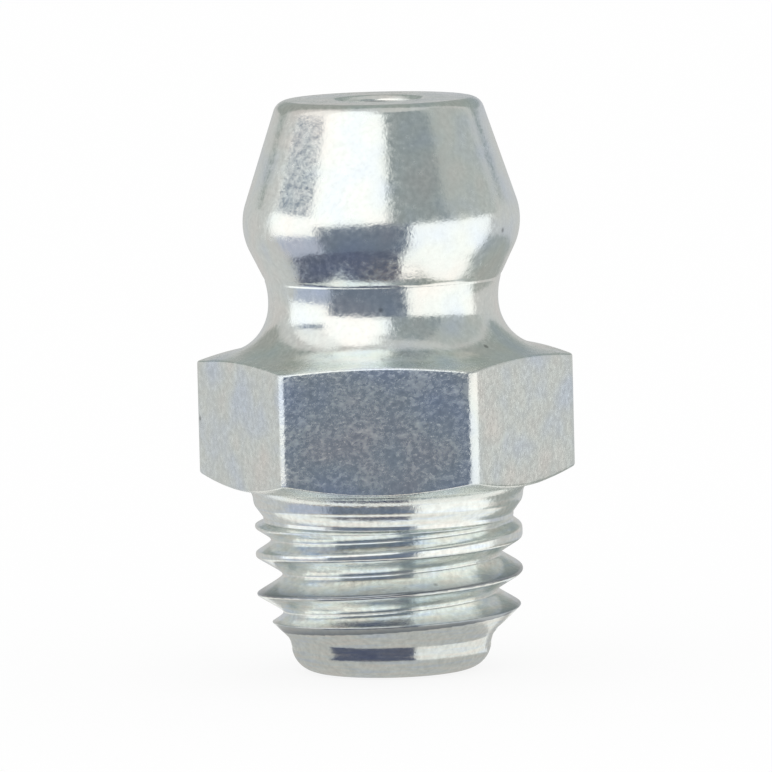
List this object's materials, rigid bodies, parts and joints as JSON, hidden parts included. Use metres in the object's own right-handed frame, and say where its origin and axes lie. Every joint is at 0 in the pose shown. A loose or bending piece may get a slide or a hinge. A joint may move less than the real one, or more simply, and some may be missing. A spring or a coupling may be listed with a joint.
{
  "type": "grease nipple",
  "caption": "Straight ball-check grease nipple: a hexagon over a short threaded shank, a necked round head for the coupler, and a sprung ball that closes the inlet.",
  "frame": {"origin": "Centre of the end face of the threaded shank, on the nipple's axis", "axes": "+Z runs along the axis from the threaded end to the head; two faces of the hexagon look along -Y and +Y, and two of its edges point along -X and +X"},
  "size_m": [0.009, 0.0078, 0.0135],
  "materials": {
    "zinc_plated_steel": "bright zinc plate, smooth with a fine mottle",
    "ball_steel": "polished bearing steel",
    "spring_wire": "drawn steel wire, satin"
  },
  "bodies": {
    "nipple": {"body": "zinc_plated_steel", "spring": "spring_wire"},
    "check_ball": {"check_ball": "ball_steel"}
  },
  "joints": [
    {"name": "ball_travel", "type": "slide", "parent": "nipple", "child": "check_ball", "axis": [0, 0, -1], "range_m": [0, 0.007], "stiffness_N_per_m": 1285, "springref_m": -0.0008, "deforming": ["spring"]}
  ]
}
